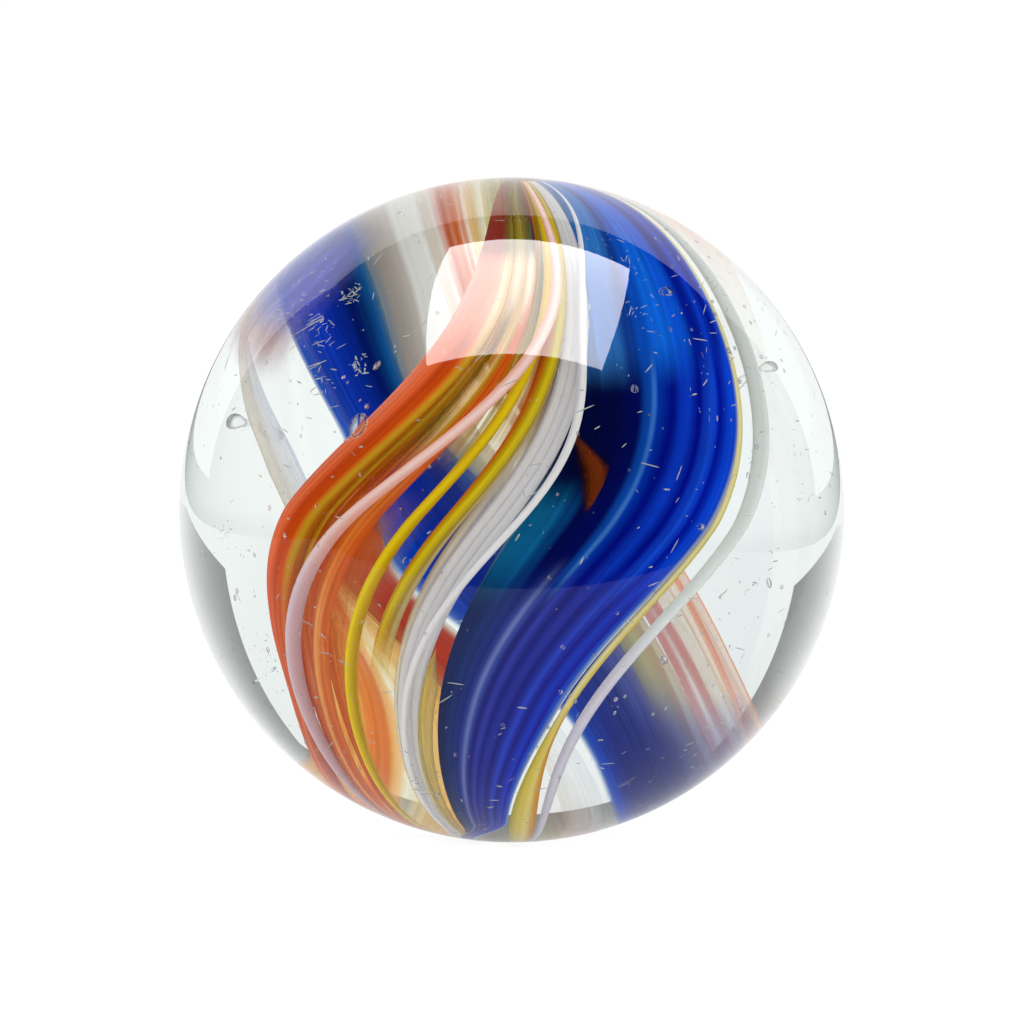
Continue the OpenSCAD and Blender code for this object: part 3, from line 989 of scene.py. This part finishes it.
# A spot is across and up from the ball's middle, as the camera sees it, in shares of the
# radius.
BUBBLES = [
    # name, spot, reach in shares of the radius, width and height in mm, lean in degrees
    ("orange_bubble", (-0.470, 0.257), 0.94, (0.68, 0.98), 20),
    ("high_bubble", (0.467, 0.660), 0.96, (0.42, 0.66), 60),
    ("blue_bubble", (0.374, 0.368), 0.95, (0.30, 0.34), 0),
    ("hem_bubble", (0.573, -0.052), 0.96, (0.34, 0.26), 0),
    ("low_bubble", (0.460, -0.454), 0.96, (0.36, 0.38), 0),
    ("left_bubble", (-0.405, 0.433), 0.97, (0.24, 0.40), 30),
    ("upper_bubble", (-0.435, 0.310), 0.97, (0.20, 0.22), 0),
    ("side_bubble", (0.774, -0.220), 0.97, (0.24, 0.42), -30),
]
MARKS = [
    # spot, spread in shares of the radius, count, length and width in mm, scatter
    ((-0.590, 0.555), 0.016, 9, 1.90, 0.05, 0.12),
    ((-0.560, 0.520), 0.050, 16, 0.90, 0.05, 0.6),
    ((-0.475, 0.640), 0.030, 30, 0.60, 0.06, 1.5),
    ((-0.450, 0.430), 0.030, 26, 0.35, 0.07, 2.0),
    ((-0.575, 0.430), 0.012, 3, 1.60, 0.05, 0.1),
    ((-0.560, 0.370), 0.040, 14, 0.40, 0.05, 1.5),
    ((-0.640, 0.640), 0.090, 60, 0.60, 0.03, 0.5),
    ((-0.700, 0.560), 0.060, 30, 0.50, 0.03, 0.5),
    ((0.345, 0.720), 0.060, 22, 0.60, 0.03, 0.5),
    ((0.370, 0.585), 0.060, 14, 0.45, 0.03, 0.6),
    ((0.340, -0.815), 0.012, 3, 2.00, 0.025, 0.15),
    ((0.450, -0.735), 0.012, 2, 0.50, 0.07, 0.2),
    ((-0.280, -0.810), 0.025, 8, 0.25, 0.07, 1.2),
    ((-0.235, -0.850), 0.030, 8, 0.30, 0.08, 1.2),
    ((0.050, -0.920), 0.040, 9, 0.30, 0.05, 1.2),
    ((0.000, 0.900), 0.120, 60, 0.30, 0.025, 1.0),
    ((0.200, 0.780), 0.100, 40, 0.25, 0.025, 1.0),
    ((0.890, 0.100), 0.090, 22, 0.35, 0.04, 0.5),
    ((-0.850, -0.080), 0.060, 16, 0.40, 0.03, 0.5),
    ((-0.700, -0.450), 0.120, 24, 0.35, 0.03, 1.0),
]
NICKS = [
    # spread, count, length, width, scatter, as for the marks, but all over the skin
    (1.0, 500, 0.4, 0.07, 0.8),
    (1.0, 420, 0.9, 0.05, 0.8),
]


def toward(across, up):
    """The point on the ball's skin that the camera sees there, as a unit vector."""
    rise, roll = CAMERA_UP, CAMERA_ROLL
    right = Vector((cos(roll), sin(rise) * sin(roll), cos(rise) * sin(roll)))
    top = Vector((-sin(roll), sin(rise) * cos(roll), cos(rise) * cos(roll)))
    front = Vector((0, -cos(rise), sin(rise)))
    out = sqrt(max(0.0, 1 - across * across - up * up))
    return right * across + top * up + front * out


def make_bubbles():
    tree = bubble_tree()
    inside = air()
    pieces = []
    for name, spot, reach, sizes, lean in BUBBLES:
        half_width, half_height = [size * MM / 2 for size in sizes]
        pieces.append(grown(name, tree, {
            "Middle": toward(*spot) * BALL_R * reach,
            "Size": Vector((half_width, half_width, half_height)),
            "Turn": Vector((0, radians(lean), 0)),
            "Material": inside,
        }))
    values = {"Ball Radius": BALL_R, **SPECKS, "Material": inside}
    pieces.append(grown("seed_specks", speck_tree(), values))
    joined("seed_bubbles", pieces)


def make_wear():
    tree = mark_tree()
    bruise = bruised_glass()

    def marks(name, seed, lie, spot, spread, count, length, width, scatter):
        return grown(name, tree, {
            "Ball Radius": BALL_R,
            "Sunk": MARK_SUNK,
            "Spot": spot,
            "Spread": spread,
            "Count": count,
            "Length": length * MM / 2,
            "Width": width * MM / 2,
            "Lie": Vector(lie),
            "Scatter": scatter,
            "Seed": seed,
            "Material": bruise,
        })

    groups = [
        marks(f"marks_{i}", MARK_SEED + i, MARK_LIE, toward(*spot), *sizes)
        for i, (spot, *sizes) in enumerate(MARKS)
    ]
    nicks = [
        marks(f"nicks_{i}", NICK_SEED + i, NICK_LIE, Vector((0, 0, 0)), *sizes)
        for i, sizes in enumerate(NICKS)
    ]
    joined("skin_marks", groups + nicks)


# --- camera ---
def make_camera():
    data = bpy.data.cameras.new("camera")
    data.sensor_width = SENSOR
    half_angle = asin(BALL_R / CAMERA_AWAY)
    data.lens = BALL_PIXELS / FRAME_PIXELS * SENSOR / tan(half_angle)
    data.clip_start = CAMERA_NEAR
    camera = new_object("camera", data)
    back = Vector((0, -cos(CAMERA_UP), sin(CAMERA_UP)))
    tilt = Matrix.Rotation(pi / 2 - CAMERA_UP, 4, "X") @ Matrix.Rotation(CAMERA_ROLL, 4, "Z")
    metre_per_pixel = BALL_R / BALL_PIXELS
    middle = FRAME_PIXELS / 2
    slide = Vector((
        (middle - BALL_CENTRE[0]) * metre_per_pixel,
        (BALL_CENTRE[1] - middle) * metre_per_pixel,
        0,
    ))
    away = Matrix.Translation(back * CAMERA_AWAY)
    camera.matrix_world = away @ tilt @ Matrix.Translation(slide)
    bpy.context.scene.camera = camera


# --- floor, backdrop and light ---
BACKDROP_SIDE = 1.14  # half its width, as a share of its distance
BACKDROP_TOP = 1.25  # its height, as a share of its distance
GAP_TONE = 0.02  # the dark room in front of the ball, as its skin mirrors it
WALL_TONE = 0.2  # the walls beside the backdrop, as the clear glass shows them
WALL_FAR_TONE = 0.8  # the same walls further round
WALL_NEAR, WALL_FAR = radians(48), radians(95)  # where the one tone ends, the other begins
TABLE_EDGE = radians(21)  # how high the white table shows straight behind the ball
TABLE_FALL = 0.29  # and how much lower for each step to the side
SOFTBOX_NEAR, SOFTBOX_FAR = -0.57, 0.42  # its edges, as shares of its height
SOFTBOX_LEFT = (-0.414, 0.327)  # its left edge: where it is overhead, and its lean
SOFTBOX_RIGHT = (0.511, -0.103)
SOFTBOX_TONE = 9.0
SOFT_LIGHT = 1.2  # on what is matt
NO_DEPTH = 0.001  # the least distance ahead or overhead that shares are taken of
HORIZON = 0.01


def make_world():
    """White behind the ball, grey walls beside it, a softbox overhead, a dark room in front.

    What is matt gets even light instead.
    """
    world = bpy.data.worlds.new("studio")
    bpy.context.scene.world = world
    world.use_nodes = True
    world.node_tree.nodes.clear()
    n = Nodes(world.node_tree)
    x, y, z = n.parts(n.add("ShaderNodeTexCoord").outputs["Generated"])
    azimuth = n.absolute(n.math("ARCTAN2", x, y))
    elevation = n.math("ARCSINE", z)
    ahead = n.most(y, NO_DEPTH)
    backdrop = (
        n.above(y, 0.0)
        * (1.0 - n.above(n.absolute(x) / ahead, BACKDROP_SIDE))
        * (1.0 - n.above(z / ahead, BACKDROP_TOP))
    )
    high = n.most(z, NO_DEPTH)
    over_x, over_y = x / high, y / high
    box = (
        n.above(over_x, over_y * SOFTBOX_LEFT[1] + SOFTBOX_LEFT[0])
        * (1.0 - n.above(over_x, over_y * SOFTBOX_RIGHT[1] + SOFTBOX_RIGHT[0]))
        * n.above(over_y, SOFTBOX_NEAR)
        * (1.0 - n.above(over_y, SOFTBOX_FAR))
        * n.above(z, HORIZON)
    )
    mirrored = GAP_TONE + backdrop * (1.0 - GAP_TONE) + box * SOFTBOX_TONE
    further = n.smooth_step(azimuth, WALL_NEAR, WALL_FAR)
    wall = WALL_TONE + further * (WALL_FAR_TONE - WALL_TONE)
    table = 1.0 - n.above(elevation + azimuth * TABLE_FALL, TABLE_EDGE)
    behind = n.most(n.most(backdrop, table), wall)
    glossy, passed, seen = rays(n, "Glossy", "Transmission", "Camera")
    soft_light = 1.0 - n.most(n.most(glossy, passed), seen)
    only_glossy = glossy * (1.0 - passed)
    strength = mirrored * only_glossy + behind * passed + soft_light * SOFT_LIGHT + seen
    background = n.add("ShaderNodeBackground", {0: WHITE, 1: strength})
    n.add("ShaderNodeOutputWorld", {0: background})


FLOOR_HALF = 3.0
CLOTH_WHITE = 0.88
CLOTH_GRAIN = (900.0, 3.0)  # how fine its noise is, and its detail
CLOTH_UNEVEN = 0.04
CLOTH_FRONT = 3.1 * BALL_R  # the white cloth ends here towards the camera
CLOTH_SIDE = 7.0 * BALL_R  # and here to each side, as the ball's skin mirrors it
CLOTH_TONE = 0.42  # how light it is in front of the ball, as the skin mirrors it
CLOTH_DIM, CLOTH_LIT = -0.8 * BALL_R, 1.2 * BALL_R  # from there on it gets lighter, up to here
CLOTH_SEEN = 0.85  # how much of it is plain white to the eye: the rest takes the shadow


def make_floor():
    """White cloth under the ball, with the ball's shadow on it."""
    mesh = bpy.data.meshes.new("floor")
    ways = ((-1, -1), (1, -1), (1, 1), (-1, 1))
    corners = [(x * FLOOR_HALF, y * FLOOR_HALF, -BALL_R) for x, y in ways]
    mesh.from_pydata(corners, [], [(0, 1, 2, 3)])
    floor = new_object("floor", mesh)
    material, n = new_material("white_cloth")
    grain = n.add("ShaderNodeTexNoise", {"Scale": CLOTH_GRAIN[0], "Detail": CLOTH_GRAIN[1]})
    level = CLOTH_WHITE + n.out(grain) * CLOTH_UNEVEN
    diffuse = n.add("ShaderNodeBsdfDiffuse", {"Color": n.vector(level, level, level)})
    glossy, passed, by_camera = rays(n, "Glossy", "Transmission", "Camera")
    x, y, _ = n.parts(n.add("ShaderNodeTexCoord").outputs["Object"])
    bare = n.most(n.above(y * -1.0, CLOTH_FRONT), n.above(n.absolute(x), CLOTH_SIDE))
    skin = glossy * (1.0 - passed)
    tone = CLOTH_TONE + n.smooth_step(y, CLOTH_DIM, CLOTH_LIT) * (1.0 - CLOTH_TONE)
    lit = 1.0 - skin + skin * (tone * (1.0 - bare) + bare * GAP_TONE)
    white = n.add("ShaderNodeEmission", {"Strength": lit})
    seen = n.most(by_camera, n.most(glossy, passed))
    share = seen * CLOTH_SEEN + skin * (1.0 - CLOTH_SEEN)
    finish_material(n, share, diffuse, white)
    mesh.materials.append(material)


LAMP_SIZE = (0.6, 0.5)
LAMP_POWER = 2.8
LAMP_AT = (0, -0.1, 0.5)
LAMP_TILT = radians(-12)


def make_lamp():
    """The softbox's own light on matt things."""
    data = bpy.data.lights.new("softbox", "AREA")
    data.shape = "RECTANGLE"
    data.size, data.size_y = LAMP_SIZE
    data.energy = LAMP_POWER
    lamp = new_object("softbox", data)
    lamp.location = LAMP_AT
    lamp.rotation_euler = (LAMP_TILT, 0, 0)
    lamp.visible_glossy = False
    lamp.visible_transmission = False
    lamp.visible_camera = False


LIGHT_BOUNCES = 24

make_camera()
make_ball()
make_warm_strands()
make_cold_strands()
make_veils()
make_far_strands()
make_hazes()
make_bubbles()
make_wear()
make_world()
make_floor()
make_lamp()

scene = bpy.context.scene
scene.view_settings.view_transform = "Standard"
scene.cycles.max_bounces = LIGHT_BOUNCES
scene.cycles.transmission_bounces = LIGHT_BOUNCES
scene.cycles.transparent_max_bounces = LIGHT_BOUNCES
